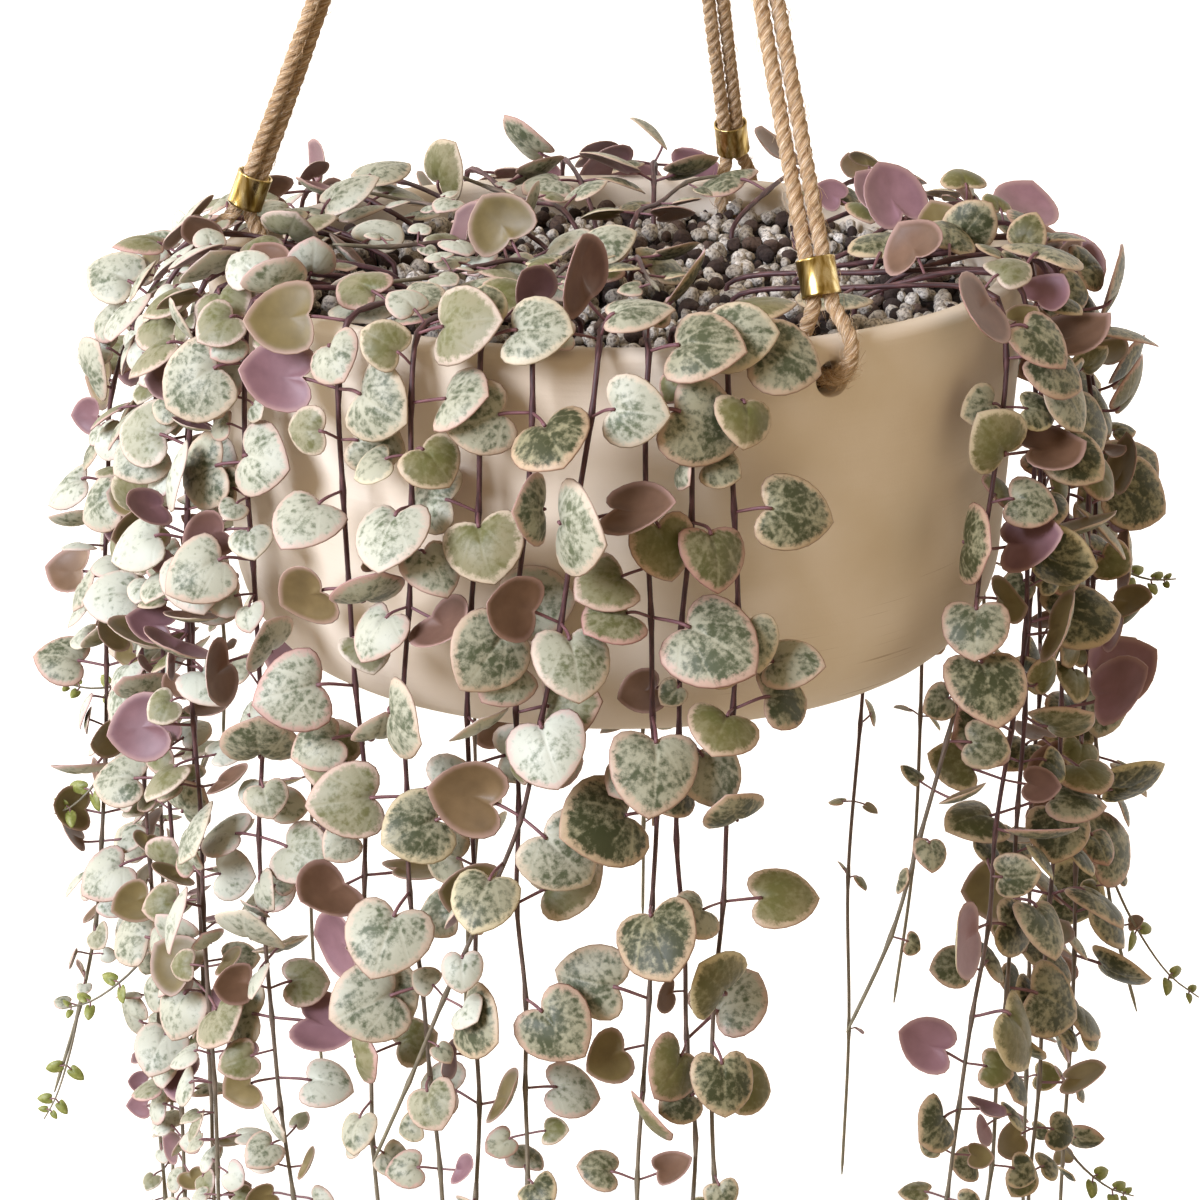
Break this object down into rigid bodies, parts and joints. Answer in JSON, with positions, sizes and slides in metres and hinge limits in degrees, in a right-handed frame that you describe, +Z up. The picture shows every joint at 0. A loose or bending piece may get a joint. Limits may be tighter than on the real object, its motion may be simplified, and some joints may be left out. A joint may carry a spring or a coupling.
{
  "type": "hanging potted plant",
  "caption": "Round matte ceramic hanging pot on doubled jute hangers with brass sleeves, planted with a trailing vine whose variegated heart-shaped leaves fall past the rim.",
  "frame": {"origin": "the point inside the top of the brass ring where a ceiling hook bears, straight above the middle of the pot", "axes": "+Z up along the pot's axis, -Y towards the side with the fullest curtain of vines, +X to the right of someone facing that side"},
  "size_m": [0.2869, 0.2594, 0.575],
  "materials": {
    "ceramic": "matte",
    "potting_mix": "matte",
    "jute": "matte",
    "brass": "satin",
    "foliage": "satin"
  },
  "bodies": {
    "root": {"pot": "ceramic", "soil": "potting_mix", "rope_front": "jute", "rope_back": "jute", "rope_left": "jute", "ferrule_front": "brass", "ferrule_back": "brass", "ferrule_left": "brass", "gathering": "jute", "hang_ring": "brass", "crown_01": "foliage", "crown_02": "foliage", "crown_03": "foliage", "crown_04": "foliage", "crown_05": "foliage", "crown_06": "foliage", "crown_07": "foliage", "vine_01": "foliage", "vine_02": "foliage", "vine_03": "foliage", "vine_04": "foliage", "vine_05": "foliage", "vine_06": "foliage", "vine_07": "foliage", "vine_08": "foliage", "vine_09": "foliage", "vine_10": "foliage", "vine_11": "foliage", "vine_12": "foliage", "vine_13": "foliage", "vine_14": "foliage", "vine_15": "foliage", "vine_16": "foliage", "vine_17": "foliage", "vine_18": "foliage", "vine_19": "foliage", "vine_20": "foliage", "vine_21": "foliage", "vine_22": "foliage", "vine_23": "foliage", "vine_24": "foliage", "vine_25": "foliage", "vine_26": "foliage", "vine_27": "foliage", "vine_28": "foliage", "vine_29": "foliage", "vine_30": "foliage", "vine_31": "foliage", "vine_32": "foliage"}
  },
  "joints": []
}
